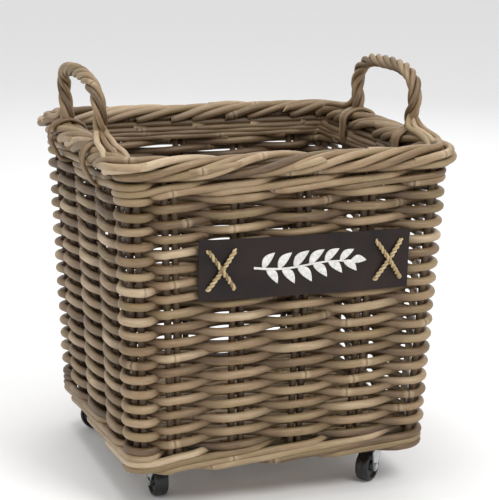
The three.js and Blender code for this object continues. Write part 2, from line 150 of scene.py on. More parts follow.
class Finish:
    """A material under construction."""

    def __init__(self, name):
        self.material = bpy.data.materials.new(name)
        self.material.use_nodes = True
        self.tree = self.material.node_tree
        self.shader = self.tree.nodes["Principled BSDF"]

    def node(self, kind, settings=None, inputs=None, output=0):
        made = self.tree.nodes.new(kind)
        for name, value in (settings or {}).items():
            if name == "stops":
                self.set_stops(made.color_ramp, value)
            else:
                setattr(made, name, value)
        for place, value in (inputs or {}).items():
            self.feed(made.inputs[place], value)
        return Field(self, made.outputs[output])

    def set_stops(self, ramp, stops):
        while len(ramp.elements) > 1:
            ramp.elements.remove(ramp.elements[-1])
        for i, (place, colour) in enumerate(stops):
            element = ramp.elements[0] if i == 0 else ramp.elements.new(place)
            element.position = place
            element.color = colour

    def feed(self, socket, value):
        if isinstance(value, Field):
            self.tree.links.new(value.socket, socket)
        else:
            socket.default_value = value

    def set(self, **inputs):
        for name, value in inputs.items():
            self.feed(self.shader.inputs[name.replace("_", " ")], value)

    def attribute(self, name):
        return self.node("ShaderNodeAttribute", {"attribute_name": name}, output="Vector")

    def part(self, vector, axis):
        return self.node("ShaderNodeSeparateXYZ", inputs={0: vector}, output=axis)

    def vector(self, x, y, z):
        return self.node("ShaderNodeCombineXYZ", inputs={0: x, 1: y, 2: z})

    def scaled(self, vector, sizes):
        return self.node("ShaderNodeVectorMath", {"operation": "MULTIPLY"}, {0: vector, 1: sizes})

    def noise(self, vector, scale, detail=3.0, rough=0.5):
        inputs = {"Vector": vector, "Scale": scale, "Detail": detail, "Roughness": rough}
        return self.node("ShaderNodeTexNoise", inputs=inputs, output="Fac")

    def step(self, value, low, high):
        """0 below low, 1 above high, and smooth between."""
        settings = {"interpolation_type": "SMOOTHSTEP"}
        inputs = {"Value": value, "From Min": low, "From Max": high}
        return self.node("ShaderNodeMapRange", settings, inputs)

    def ramp(self, value, stops):
        return self.node("ShaderNodeValToRGB", {"stops": stops}, {0: value})

    def mix(self, share, first, second, blend="MIX"):
        settings = {"data_type": "RGBA", "blend_type": blend}
        return self.node("ShaderNodeMix", settings, {0: share, 6: first, 7: second}, output=2)

    def bump(self, height, distance, strength=1.0):
        inputs = {"Height": height, "Distance": distance, "Strength": strength}
        self.set(Normal=self.node("ShaderNodeBump", inputs=inputs))


def paint(red, green, blue):
    """A colour given as a painter's 0 to 255 values, as the linear values that shaders use."""
    shares = [v / 255 for v in (red, green, blue)]
    linear = [s / 12.92 if s <= 0.04045 else ((s + 0.055) / 1.055) ** 2.4 for s in shares]
    return (*linear, 1.0)


# %% [markdown]
# ## The finish of a cane
#
# Grey kubu cane is dried in its skin. Each cane has its own shade, from driftwood grey to brown, with
# hair-fine lines along it, a dark ring where a leaf grew, pale worn patches, a green tinge here and
# there, and pale pith where it is cut.
# The pattern has to follow the cane round every bend, so each point of a cane carries two attributes:
# "strand", its place round and along the cane, and "look", the cane's shade, how much painted shade
# the point gets, and whether it is on a cut. The painted shade darkens the colour where canes cross
# and lie behind other canes, where shadow falls.

# %% Cane
NODE_SPACING = 0.42  # between the leaf rings of a cane


def cane_finish(name, shades, gloss, tinge):
    """A cane's finish. Every noise is sized round the cane by two numbers and along it by the third."""
    finish = Finish(name)
    strand = finish.attribute("strand")
    look = finish.attribute("look")
    shade = finish.part(look, "X")
    painted_shade = finish.part(look, "Y")
    is_cut = finish.part(look, "Z")
    along = finish.part(strand, "Z")

    lines = finish.noise(finish.scaled(strand, (9.0, 9.0, 26.0)), 1.0, 4.0, 0.6)
    fine = finish.noise(finish.scaled(strand, (26.0, 26.0, 60.0)), 1.0, 3.0, 0.6)
    drift = finish.noise(finish.scaled(strand, (0.7, 0.7, 9.0)), 1.0, 2.0)
    blotch = finish.noise(finish.scaled(strand, (1.6, 1.6, 34.0)), 1.0, 3.0, 0.65)

    tone = shade + (drift - 0.5) * 0.55 + (lines - 0.5) * 0.6 + (blotch - 0.5) * 0.3
    colour = finish.ramp(tone, shades)
    olive = finish.noise(finish.scaled(strand, (0.4, 0.4, 3.1)), 1.0, 2.0)
    colour = finish.mix(finish.step(olive, 0.5, 0.62) * 0.4, colour, tinge)
    hair = finish.step(fine, 0.6, 0.72)
    colour = finish.mix(hair * 0.4, colour, paint(92, 72, 52))
    pale = finish.step(blotch, 0.62, 0.78) * finish.step(lines, 0.42, 0.6)
    colour = finish.mix(pale * 0.42, colour, paint(205, 190, 165))

    # The way to the nearest leaf ring, as a share of their spacing.
    ring = abs(finish.node("ShaderNodeMath", {"operation": "WRAP"}, {0: along, 1: 0.5, 2: -0.5}))
    dark_ring = 1.0 - finish.step(ring, 0.001, 0.004)
    worn_ring = finish.step(ring, 0.002, 0.005) * (1.0 - finish.step(ring, 0.007, 0.022))
    colour = finish.mix(dark_ring * 0.35, colour, paint(84, 64, 46))
    colour = finish.mix(worn_ring * 0.3, colour, paint(196, 178, 148))
    # Painted shade: the colour is multiplied towards dark brown by the painted-shade value, where canes
    # cross and lie behind others.
    colour = finish.mix(painted_shade, colour, paint(110, 82, 56), "MULTIPLY")
    pith = finish.noise(finish.scaled(strand, (14.0, 14.0, 200.0)), 1.0, 3.0, 0.7)
    end = finish.ramp(pith, [(0.3, paint(150, 124, 92)), (0.6, paint(205, 184, 148))])
    colour = finish.mix(is_cut, colour, end)

    finish.set(Base_Color=colour, Roughness=gloss + (lines - 0.5) * 0.3 + is_cut * 0.2)
    relief = lines * 0.5 + fine * 0.35 + worn_ring * 0.5 - dark_ring * 0.6
    finish.bump(relief, 0.0006, 0.6)
    return finish.material


GREY_SHADES = [
    (0.0, paint(78, 58, 38)),
    (0.28, paint(110, 87, 60)),
    (0.5, paint(136, 112, 82)),
    (0.72, paint(154, 131, 101)),
    (1.0, paint(184, 163, 134)),
]
OLIVE = paint(134, 118, 78)
cane = cane_finish("cane", GREY_SHADES, 0.5, OLIVE)
print("cane finish:", len(cane.node_tree.nodes), "nodes")

# %% [markdown]
# ## Rods
#
# A cane can be made from a curve with a bevel, or swept by hand. Sweeping by hand is chosen because
# every point then knows how far round and along its cane it lies, which the finish needs. It also
# gives each cane a cut end, a swelling at its leaf rings, and a flat map of its skin for baking.


# %% Curves
def frames_along(path):
    """Unit vectors along a path and two across it, which turn as little as they can."""
    ahead = np.gradient(path, axis=0)
    ahead /= np.linalg.norm(ahead, axis=1)[:, None]
    starts_upright = abs(ahead[0, 2]) > 0.8
    side = np.array((1.0, 0, 0) if starts_upright else (0, 0, 1.0))
    across = np.empty_like(path)
    for i, tangent in enumerate(ahead):
        side = side - tangent * (side @ tangent)
        side = side / np.linalg.norm(side)
        across[i] = side
    return ahead, across, np.cross(ahead, across)


def distances(path):
    """How far along its path each point lies."""
    return np.concatenate([[0], np.cumsum(np.linalg.norm(np.diff(path, axis=0), axis=1))])


def smooth_path(points, step, closed=False):
    """A Catmull-Rom curve through a few points, with a point about every step."""
    points = np.asarray(points, float)
    if closed:
        padded = np.vstack([points[-1], points, points[:2]])
        points = np.vstack([points, points[:1]])
    else:
        padded = np.vstack([2 * points[0] - points[1], points, 2 * points[-1] - points[-2]])
    pieces = []
    for a, b, c, d in zip(padded, padded[1:], padded[2:], padded[3:]):
        t = np.linspace(0, 1, 24, endpoint=False)[:, None]
        cubic = (3 * b - a - 3 * c + d) * t**3
        pieces.append(0.5 * (2 * b + (c - a) * t + (2 * a - 5 * b + 4 * c - d) * t**2 + cubic))
    dense = np.vstack(pieces + [points[-1:]])
    along = distances(dense)
    count = max(4, round(along[-1] / step) + 1)
    places = np.linspace(0, along[-1], count)
    return np.column_stack([np.interp(places, along, dense[:, k]) for k in range(dense.shape[1])])


# %% A rod's skin
RING_SWELL = 0.05  # how much thicker a cane is at a leaf ring
RING_REACH = 4 * MM
OVAL = 0.035  # how far a cane is from round
OVAL_TURN = 14  # radians by which that turns along a metre
CUT_EASE = 0.6 * MM  # the rounded edge of a cut end
CUT_SHARE = 0.9  # the flat of a cut end, as a share of the cane's radius


class Rod:
    """One cane: its route, thickness and shade, and how its two ends are slanted."""

    def __init__(self, path, radius, shade, painted_shade=0.0, slants=(0.25, 0.25), closed=False):
        self.path = np.asarray(path, float)
        count = len(self.path)
        self.radius = np.broadcast_to(radius, count).astype(float)
        # How much painted shade each point of the cane gets, 0 for none.
        self.painted_shade = np.broadcast_to(painted_shade, count).astype(float)
        self.shade = shade
        self.slants = slants
        self.closed = closed


def rod_surface(rod, sides, phase):
    """Rings of points round a rod, with the values of its two attributes."""
    ahead, across, over = frames_along(rod.path)
    length = distances(rod.path)
    ring = np.abs((length / NODE_SPACING + phase + 0.5) % 1 - 0.5) * NODE_SPACING
    radius = rod.radius * (1 + RING_SWELL * np.exp(-((ring / RING_REACH) ** 2)))
    angle = np.arange(sides) / sides * TURN
    spoke = np.cos(angle)[None, :, None] * across[:, None] + np.sin(angle)[None, :, None] * over[:, None]
    oval = 1 + OVAL * np.sin(2 * angle[None, :] + OVAL_TURN * length[:, None] + phase * TURN)
    points = rod.path[:, None] + spoke * (radius[:, None] * oval)[..., None]
    strand = np.empty(points.shape)
    strand[..., 0] = np.cos(angle)
    strand[..., 1] = np.sin(angle)
    strand[..., 2] = (length / NODE_SPACING + phase)[:, None]
    look = np.zeros(points.shape)
    look[..., 0] = rod.shade
    look[..., 1] = rod.painted_shade[:, None]
    if not rod.closed:
        for end, row, slant in ((-1, 0, rod.slants[0]), (1, -1, rod.slants[1])):
            lean = np.cos(angle + phase * TURN)[:, None] * slant * rod.radius[row]
            points[row] += ahead[row] * lean
            flat = points[row] + ahead[row] * end * CUT_EASE
            flat = flat + (flat.mean(0) - flat) * (1 - CUT_SHARE)
            points, strand, look = (
                np.concatenate([a, b] if end > 0 else [b, a])
                for a, b in ((points, flat[None]), (strand, strand[[row]]), (look, look[[row]]))
            )
    return points, strand, look


# %% A flat map of the skins
MAP_GAP = 0.12  # between the rows, as a share of the longest way round a rod
MAP_DISC = 0.4  # radius of a cut end's disc, as a share of a row's height


def caps_height(caps, width, row_height):
    """The height of the rows that hold the cut ends."""
    return math.ceil(caps / max(1, int(width // row_height))) * row_height


def bake_map(mesh, pieces, sides):
    """Lays the skin of every rod flat, in rows that fill a square, on a map for baking."""
    lengths = []
    for points, closed in pieces:
        looped = np.concatenate([points, points[:1]]) if closed else points
        lengths.append(distances(looped.mean(1)))
    round_trip = max(
        np.linalg.norm(p[0] - np.roll(p[0], 1, axis=0), axis=1).sum() for p, _ in pieces
    )
    gap = round_trip * MAP_GAP
    row_height = round_trip + gap
    starts = np.concatenate([l[:-1] for l in lengths])
    spans = np.concatenate([np.diff(l) for l in lengths])
    offsets = np.concatenate([[0], np.cumsum([l[-1] + gap for l in lengths])])
    starts = starts + np.repeat(offsets[:-1], [len(l) - 1 for l in lengths])
    caps = 2 * sum(not closed for _, closed in pieces)
    width = math.sqrt((offsets[-1] + caps * row_height) * row_height) + spans.max() + row_height
    rows = np.floor(starts / width)
    left = starts - rows * width
    tall = (rows.max() + 1) * row_height + caps_height(caps, width, row_height)
    total = max(width + spans.max(), tall)
    turn = np.arange(sides + 1) / sides * round_trip
    quad = np.empty((len(starts), sides, 4, 2))
    bottom = rows * row_height + gap / 2
    quad[..., 0, 0] = quad[..., 3, 0] = left[:, None]
    quad[..., 1, 0] = quad[..., 2, 0] = (left + spans)[:, None]
    quad[..., 0, 1] = quad[..., 1, 1] = bottom[:, None] + turn[None, :-1]
    quad[..., 2, 1] = quad[..., 3, 1] = bottom[:, None] + turn[None, 1:]
    angle = np.arange(sides) / sides * TURN
    disc = np.column_stack([np.cos(angle), np.sin(angle)]) * row_height * MAP_DISC
    across = max(1, int(width // row_height))
    places = np.arange(caps)
    centres = np.column_stack([
        (places % across + 0.5) * row_height,
        (rows.max() + 1.5 + places // across) * row_height,
    ])
    flat = (centres[:, None] + disc[None]).reshape(-1, 2)
    layer = mesh.uv_layers.new(name="OFBake")
    skin = quad[:, :, ::-1].reshape(-1, 2)
    layer.data.foreach_set("uv", (np.concatenate([skin, flat]) / total).ravel())


# %% Rods to a mesh
def rods_mesh(name, rods, sides, seed):
    """One mesh of several rods, with their attributes and their map."""
    rng = np.random.default_rng(seed)
    points, strands, looks, quads, caps, made = [], [], [], [], [], []
    base = 0
    for rod in rods:
        p, s, l = rod_surface(rod, sides, rng.uniform(0, 40))
        rings = len(p)
        last = rings if rod.closed else rings - 1
        i = np.arange(last)[:, None]
        j = np.arange(sides)[None, :]
        here = base + i * sides
        there = base + (i + 1) % rings * sides
        beside = (j + 1) % sides
        quads.append(np.stack([here + j, there + j, there + beside, here + beside], -1).reshape(-1, 4))
        if not rod.closed:
            caps.append(base + np.arange(sides))
            caps.append(base + (rings - 1) * sides + np.arange(sides)[::-1])
            l[0, :, 2] = l[-1, :, 2] = 1
        points.append(p.reshape(-1, 3))
        strands.append(s.reshape(-1, 3))
        looks.append(l.reshape(-1, 3))
        made.append((p, rod.closed))
        base += rings * sides
    vertices = np.concatenate(points)
    loops = np.concatenate([np.concatenate(quads)[:, ::-1].ravel(), *(c[::-1] for c in caps)])
    quad_count = sum(len(q) for q in quads)
    sizes = np.concatenate([np.full(quad_count, 4), np.full(len(caps), sides)])
    mesh = bpy.data.meshes.new(name)
    mesh.vertices.add(len(vertices))
    mesh.vertices.foreach_set("co", vertices.ravel())
    mesh.loops.add(len(loops))
    mesh.loops.foreach_set("vertex_index", loops)
    mesh.polygons.add(len(sizes))
    mesh.polygons.foreach_set("loop_start", np.concatenate([[0], np.cumsum(sizes)[:-1]]))
    mesh.polygons.foreach_set("use_smooth", np.arange(len(sizes)) < quad_count)
    mesh.update(calc_edges=True)
    for label, values in (("strand", strands), ("look", looks)):
        layer = mesh.attributes.new(label, "FLOAT_VECTOR", "POINT")
        layer.data.foreach_set("vector", np.concatenate(values).ravel())
    bake_map(mesh, made, sides)
    return mesh


# %% Pieces in the scene
PIECES = []


def show(name, mesh, finish, body="root", replaces=()):
    """Puts a finished mesh in the scene as a piece of the basket."""
    piece = bpy.data.objects.new(name, mesh)
    bpy.context.scene.collection.objects.link(piece)
    mesh.materials.clear()
    mesh.materials.append(finish)
    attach(piece, body)
    if replaces:
        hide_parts(*replaces)
    PIECES.append(piece)
    return piece


def show_rods(name, rods, seed, sides=12, finish=cane, replaces=()):
    """Puts several rods in the scene as one piece. The seed moves their leaf rings."""
    return show(name, rods_mesh(name, rods, sides, seed), finish, "root", replaces)


# %% [markdown]
# ## The wall as a map
#
# Every cane of the wall is described by how far round the basket it has gone, how far out from the
# line of the uprights it stands, and its height. One function turns that into a place.
# The design tells where the uprights stand at their foot and at their head.

# %% Stations round the basket
foot_low, foot_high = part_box("foot_border")
weave_low, weave_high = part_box("woven_wall")
wale_low, wale_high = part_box("upper_wale")
rim_low, rim_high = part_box("top_border")
STAKE_FOOT, STAKE_HEAD = foot_low.z, rim_low.z
WALL = 30 * MM  # thickness of the wall
OUTLINE_FOOT = foot_high.x - WALL / 2  # half the width of the square that the uprights stand on
OUTLINE_HEAD = wale_high.x - WALL / 2
OUTLINE_CORNER = 21 * MM


def climbed(z):
    """The share of the uprights' height that lies below a height."""
    return (np.minimum(z, STAKE_HEAD) - STAKE_FOOT) / (STAKE_HEAD - STAKE_FOOT)


def outline_half(z):
    """Half the width of the uprights' square at a height."""
    return OUTLINE_FOOT + (OUTLINE_HEAD - OUTLINE_FOOT) * climbed(z)


def on_outline(lap, out, z):
    """A place a share of a lap round the wall, so far out from the uprights, at a height."""
    lap, out, z = np.broadcast_arrays(np.asarray(lap, float), out, z)
    straight = outline_half(z) - OUTLINE_CORNER
    quarter = 2 * straight + OUTLINE_CORNER * math.pi / 2
    side = np.floor(lap * 4)
    run = (lap * 4 - side) * quarter
    bend = np.clip((run - 2 * straight) / OUTLINE_CORNER, 0, None)
    run = np.minimum(run, 2 * straight)
    reach = OUTLINE_CORNER + out
    x = run - straight + np.sin(bend) * reach
    y = -straight - np.cos(bend) * reach
    turn = side * math.pi / 2
    return np.stack([x * np.cos(turn) - y * np.sin(turn), x * np.sin(turn) + y * np.cos(turn), z], -1)


LAPS = np.linspace(-0.03, 0.96, 4000)  # stops short of a full lap, so that no upright is found twice


def lap_of(place):
    """The lap share of a place on the line of the uprights."""
    line = on_outline(LAPS, 0.0, place[2])[:, :2]
    return LAPS[np.argmin(np.linalg.norm(line - np.asarray(place)[:2], axis=1))]


stake_nodes = sorted(n for n in frame["nodes"] if n.startswith("stake_pair"))
STAKES = len(stake_nodes)
lap_foot, lap_head = [], []
for node in stake_nodes:
    corners = np.array([v.co for v in frame["nodes"][node].data.vertices])
    height = corners[:, 2]
    lap_foot.append(lap_of(corners[height < height.min() + MM].mean(0)))
    lap_head.append(lap_of(corners[height > height.max() - MM].mean(0)))
stations = np.arange(-STAKES, 3 * STAKES)
whole_laps = stations // STAKES
lap_foot = np.array(lap_foot)[stations % STAKES] + whole_laps
lap_head = np.array(lap_head)[stations % STAKES] + whole_laps


def on_wall(station, out, z):
    """A place so many uprights round the wall. Halves lie midway between uprights."""
    station = np.asarray(station, float)
    share = climbed(z)
    lap = np.interp(station, stations, lap_foot) * (1 - share)
    lap += np.interp(station, stations, lap_head) * share
    return on_outline(lap, out, z)


def wall_length(low, high, z):
    """How far it is along the wall between two stations."""
    return distances(on_wall(np.linspace(low, high, 60), 0.0, z))[-1]


def walk(low, high, z, step):
    """Stations between two, evenly spaced along the wall."""
    dense = np.linspace(low, high, 900)
    along = distances(on_wall(dense, 0.0, z))
    count = max(8, round(along[-1] / step))
    return np.interp(np.linspace(0, along[-1], count), along, dense)


print(STAKES, "pairs of uprights, on a line", round(OUTLINE_FOOT * 2, 3), "m square at the foot")

# %% [markdown]
# ## Uprights and the weave
#
# The weaver sets canes in pairs round the base, and passes one cane at a time in front of one
# pair and behind the next. The next cane up does the opposite. A cane climbs a little as it crosses
# the front of a pair, which gives the wall its slanting scales. A wavy displacement of a flat wall
# would be lighter, but daylight has to show between the canes, so each row is a real cane.

# %% Uprights
rng = np.random.default_rng(19)
CANE_RADIUS = 4.75 * MM
STAKE_APART = 6.1 * MM  # from the middle of a pair to the middle of each cane
WANDER = 0.7 * MM
LAP_LENGTH = 1.7  # near enough to turn a wander into a share of a lap


def shade_of(rng, middle=0.5, spread=0.19):
    """A cane's own place between the darkest shade, 0, and the palest, 1."""
    return float(np.clip(rng.normal(middle, spread), 0.05, 0.95))


stake_z = np.linspace(STAKE_FOOT + 5 * MM, STAKE_HEAD + 8 * MM, 40)  # on into the rim
stake_share = climbed(stake_z)
for i, node in enumerate(stake_nodes):
    canes = []
    for side in (-1, 1):
        lap_shift = side * STAKE_APART / (8 * outline_half(stake_z))
        lap = lap_foot[STAKES + i] * (1 - stake_share) + lap_head[STAKES + i] * stake_share
        wander = WANDER * np.sin(stake_z * rng.uniform(9, 16) + rng.uniform(0, TURN))
        path = on_outline(lap + lap_shift + wander / LAP_LENGTH, 0.3 * wander, stake_z)
        # The uprights get a strong painted shade, as they lie behind and between the weaving canes.
        canes.append(Rod(path, CANE_RADIUS * rng.uniform(0.95, 1.08), shade_of(rng, 0.4), 0.7))
    show_rods(f"uprights_{i + 1:02d}", canes, 100 + i, 12, replaces=[node])
print("uprights:", STAKES, "pairs")

# %% Weaving canes
ROWS = 35
ROW_FIRST = weave_low.z + 5.2 * MM
ROW_PITCH = (weave_high.z - 5.0 * MM - ROW_FIRST) / (ROWS - 1)
PASS = 10.2 * MM  # how far in front of or behind the uprights a cane runs
REST = 9 * MM  # how long it stays straight on each side of a pair
OVERLAP = 0.22  # of the way to the next pair, by which a cane starts early and ends late
TUCK = 8.5 * MM  # how far in a cane's tail is tucked


def passing(station, z, parity):
    """1 in front of a pair, -1 behind it, and a smooth crossing between."""
    first = np.floor(station).astype(int)
    within = station - first
    spans = np.array([wall_length(k, k + 1, z) for k in range(first.min(), first.max() + 1)])
    span = spans[first - first.min()]
    rest = np.minimum(REST, 0.16 * span)
    crossing = np.clip((within * span - rest) / (span - 2 * rest), 0, 1)
    return np.where((first + parity) % 2 == 0, 1, -1) * np.cos(math.pi * crossing)


row_radii = []
for row in range(ROWS):
    z = ROW_FIRST + ROW_PITCH * row
    start = 2 * int(rng.integers(0, STAKES // 2)) + 1 - row % 2
    station = walk(start - OVERLAP, start + STAKES + OVERLAP, z, 5 * MM)
    side = passing(station, z, row)
    climb = np.sin(math.pi * (station - row)) * rng.uniform(0.9, 1.7) * MM
    along = distances(on_wall(station, 0.0, z))
    wobble = 0.55 * MM * np.sin(along * rng.uniform(14, 22) + rng.uniform(0, TURN))
    wobble += 0.5 * MM * np.sin(along * rng.uniform(40, 60) + rng.uniform(0, TURN))
    bow = 0.6 * MM * np.sin(along * rng.uniform(25, 35) + rng.uniform(0, TURN))
    tail = np.clip((station - (start + STAKES - 0.35)) / 0.4, 0, 1)
    out = side * PASS + bow * 0.6 - TUCK * tail
    path = on_wall(station, out, z - 0.7 * MM * side + climb + wobble + 3 * MM * tail)
    radius = CANE_RADIUS * rng.uniform(1.12, 1.26)
    row_radii.append(radius)
    # Painted shade: most where canes cross, some where a cane runs behind a pair.
    painted_shade = 0.42 * (1 - side**2) + 0.15 * (1 - side)  # most where canes cross, some behind a pair
    cane_of_row = Rod(path, radius, shade_of(rng), painted_shade, (0.5, 0.5))
    hidden = ["woven_wall"] if row == 0 else []
    show_rods(f"weave_{row + 1:02d}", [cane_of_row], 200 + row, 12, replaces=hidden)
thinnest, thickest = (round(2 * r / MM, 1) for r in (min(row_radii), max(row_radii)))
print("weave:", ROWS, "canes,", thinnest, "to", thickest, "mm")

# %% [markdown]
# ## Foot, upper band and rim
#
# A band is woven with several canes at once, each passing in front of two or three pairs before it
# goes behind one, so the band looks like rope laid flat. The rim is made the same way from the ends
# of the uprights: each goes up over its neighbours, rolls over the top and is cut off inside.


# %% Bands
def band(name, low, pitch, front, radius, seed, replaces, dive):
    """Canes that climb past so many pairs in front, and plain rings that fill the back."""
    rng = np.random.default_rng(seed)
    rods = []
    for j in range(STAKES):
        station = walk(j - 0.8, j + front - 0.2, low, 5 * MM)
        progress = station - j
        entering = np.clip((progress + 0.8) / 0.55, 0, 1)
        leaving = np.clip((front - 0.2 - progress) / 0.6, 0, 1)
        smooth = [0.5 - 0.5 * np.cos(math.pi * v) for v in (entering, leaving)]
        out = PASS * (2 * np.minimum(*smooth) - 1)
        z = low + pitch * np.clip(progress, -0.3, front) + rng.uniform(-0.4, 0.4) * MM
        z = z + dive * (1 - smooth[0]) + 0.4 * MM * np.sin(progress * 5 + rng.uniform(0, TURN))
        thick = radius * rng.uniform(0.94, 1.06)
        # Painted shade on the band's canes grows as they go behind the pairs.
        rods.append(Rod(on_wall(station, out, z), thick, shade_of(rng), 0.25 - 0.25 * out / PASS))
    rings = round(pitch * front / (2 * radius)) + 1
    for k in range(rings):
        station = walk(0, STAKES, low, 6 * MM)[:-1]
        level = low + (k + 0.2) * pitch * front / rings
        out = -PASS + 0.8 * MM * np.sin(station * 6.1 + k * 2)
        # The rings at the back of the band get a fixed painted shade.
        rods.append(Rod(on_wall(station, out, level), radius * 0.95, shade_of(rng), 0.4, closed=True))
    show_rods(name, rods, seed, 12, replaces=replaces)
    print(name, len(rods), "canes")


foot_nodes = ["foot_border", "lower_wale"]
band("foot_band", foot_low.z + 4.6 * MM, 8.2 * MM, 3, 5.2 * MM, 31, foot_nodes, -1.5 * MM)
band("upper_band", wale_low.z + 4.5 * MM, 8.6 * MM, 2, 5.0 * MM, 32, ["upper_wale"], 0.0)

# %% Rim
RIM_RODS = 38
RIM_SPAN = 0.138  # share of a lap that one cane of the rim runs
RIM_CANE = 5.6 * MM
RIM_WIDE = 44 * MM
RIM_LINE = rim_high.x - RIM_WIDE / 2  # from the basket's middle to the middle of the rim
rim_middle = (rim_low.z + rim_high.z) / 2
rim_out = RIM_LINE - float(outline_half(STAKE_HEAD))
ROLL_WIDE = RIM_WIDE / 2 - RIM_CANE
ROLL_HIGH = (rim_high.z - rim_low.z) / 2 - RIM_CANE
roll_angles = np.radians(np.linspace(-85, 210, 300))  # from outside below, over the top, to inside


def roll_place(angle, size=1.0):
    """Places on the oval round the rim's middle: how far out, and at what height."""
    out = rim_out + ROLL_WIDE * np.cos(angle) * size
    return out, rim_middle + ROLL_HIGH * np.sin(angle) * size


roll_arc = distances(np.column_stack(roll_place(roll_angles)))


def rolled(share):
    """How far a cane has rolled over the rim, so that it does so at an even rate."""
    return np.interp(share * roll_arc[-1], roll_arc, roll_angles)


rods = []
rng = np.random.default_rng(77)
for j in range(RIM_RODS):
    share = np.linspace(0, 1, 58)
    span = RIM_SPAN * rng.uniform(0.93, 1.07)
    lap = (j + rng.uniform(-0.18, 0.18)) / RIM_RODS + span * share
    roll = rolled(share) + math.radians(rng.uniform(-5, 5))
    grow = 1 + 0.14 * np.sin(share * math.pi) * rng.uniform(-0.7, 1.0)
    out, z = roll_place(roll, grow)
    z = z + 0.6 * MM * np.sin(share * 9 + rng.uniform(0, TURN))
    path = on_outline(lap, out, z)
    # Painted shade on the rim's canes: darker where they come out from under the roll outside and where
    # they end inside.
    rim_painted_shade = 0.7 * share**4 + 0.6 * (1 - np.clip(share / 0.1, 0, 1))
    rods.append(Rod(path, RIM_CANE * rng.uniform(0.88, 1.06), shade_of(rng, 0.56, 0.2), rim_painted_shade))
CORE = ((-4.5, -3.5), (4.5, -3.5), (0, 4), (-12, -12), (-2, -13))  # mm out and up from its middle
CORE_CANE = 5.2 * MM
core_lap = np.linspace(0, 1, 260, endpoint=False)
for out, up in CORE:
    path = on_outline(core_lap, rim_out + out * MM, rim_middle + up * MM)
    # The hidden core canes get a painted shade too.
    rods.append(Rod(path, CORE_CANE, 0.4, 0.6, closed=True))
show_rods("rim", rods, 41, 12, replaces=["top_border"])
print("rim:", RIM_RODS, "canes over a core of", len(CORE))

# %% Cut ends on the rim
STUBS = 16
rods = []
for j in range(STUBS):
    share = np.linspace(0, 1, 12)
    lap = (j + rng.uniform(0.1, 0.9)) / STUBS + 0.026 * share * rng.uniform(0.9, 1.5)
    turned = math.radians(rng.choice([rng.uniform(-25, 10), rng.uniform(60, 130)]))
    roll = turned + np.radians(40) * share
    lift = 1 + rng.uniform(0.12, 0.26) * share
    out, z = roll_place(roll, lift)
    path = on_outline(lap, out, z)
    rods.append(Rod(path, RIM_CANE * rng.uniform(0.85, 1.0), shade_of(rng, 0.55), 0, (0.2, 0.8)))
show_rods("rim_ends", rods, 42, 12)
print("rim:", STUBS, "cut ends")

# %% [markdown]
# ## Handles, ties and floor
#
# Four canes twisted together make each handle. Their ends run on along the rim, and thin split
# canes bind them down. The floor is a mat of canes woven over and under a few cross canes.

# %% The line of a handle
ROPE = 10 * MM  # half the thickness of a handle's rope
HANDLE_LEAN = 7 * MM  # how far out the top of a handle leans
HANDLE_SHAPE = [(0.925, -0.36), (0.925, 0.1), (1, 0.45), (0.9, 0.76), (0.58, 0.95)]  # from foot to top


def handle_line(name, side):
    """The middle of a handle's rope. Its shape is given in shares of its half width and its rise."""
    low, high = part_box(name + "_handle")
    rise = high.z - ROPE - low.z
    wide = high.y - ROPE
    points = [
        (RIM_LINE + HANDLE_LEAN * max(h, 0) ** 2, -wide * w, low.z + rise * h) for w, h in HANDLE_SHAPE
    ]
    points += [(RIM_LINE + HANDLE_LEAN, 0, low.z + rise)]
    points += [(x, -y, z) for x, y, z in points[-2::-1]]
    return smooth_path(points, 4 * MM) * (side, 1, 1)


print("handle:", round(distances(handle_line("right", 1))[-1], 3), "m of rope")

# %% Handles and bindings
STRAND = 4.2 * MM
STRAND_OUT = 6.1 * MM  # from the middle of the rope to the middle of each cane
TWIST = 104 * MM  # length of one full turn
# The loop of a binding round the rim: how far out and up from the rim's middle, in mm.
HUG = [
    (26, -9), (24, 7), (16, 15.5), (0, 20), (-15, 15.5), (-24, 7),
    (-25, -9), (-24, -26), (-13, -37), (-4, -40), (10, -38), (18, -27),
]
HUG_SPREAD = (-12.4, -6.6, -0.6, 5.6)  # mm along the rim from its middle to each of its canes
BINDING = 2.7 * MM


def twisted(line, side, rng):
    """The canes of a handle's rope."""
    _, across, over = frames_along(line)
    length = distances(line)
    for k in range(4):
        turn = TURN * (k / 4 + length / TWIST) * side
        out = STRAND_OUT * (1 + 0.07 * np.sin(length * 25 + k * 2.1))
        coil = np.cos(turn)[:, None] * across + np.sin(turn)[:, None] * over
        # A light painted shade on the rope's canes.
        yield Rod(line + coil * out[:, None], STRAND * rng.uniform(0.92, 1.04), shade_of(rng), 0.1)


def fanned(line, side, end, rng):
    """The canes that run on from one foot of a handle along the rim, and sink into it."""
    x_foot, y_foot = abs(line[0, 0]), abs(line[0, 1])
    for k in (-1, 0, 1):
        x = x_foot + (10 * k - 1) * MM
        reach = (74 - 14 * k) * MM * rng.uniform(0.9, 1.05)
        top = rim_high.z + 2 * MM
        points = [
            (x_foot + 1.5 * k * MM, y_foot + 3 * MM, top + 36 * MM),
            (x_foot + 6 * k * MM, y_foot + 6 * MM, top + 13 * MM),
            (x, y_foot + 20 * MM, top + 3 * MM),
            (x + 1 * MM, y_foot + reach * 0.6, top - 0.5 * MM),
            (x + 2 * k * MM, y_foot + reach, top - 4 * MM),
            (x + 3 * k * MM, y_foot + reach + 18 * MM, top - 12 * MM),
        ]
        path = smooth_path(points, 5 * MM) * (side, end, 1)
        taper = np.clip(distances(path) / (26 * MM), 0.25, 1)
        # A faint painted shade on the canes that run along the rim.
        yield Rod(path, taper * STRAND * rng.uniform(0.92, 1.08), shade_of(rng, 0.55), 0.05)


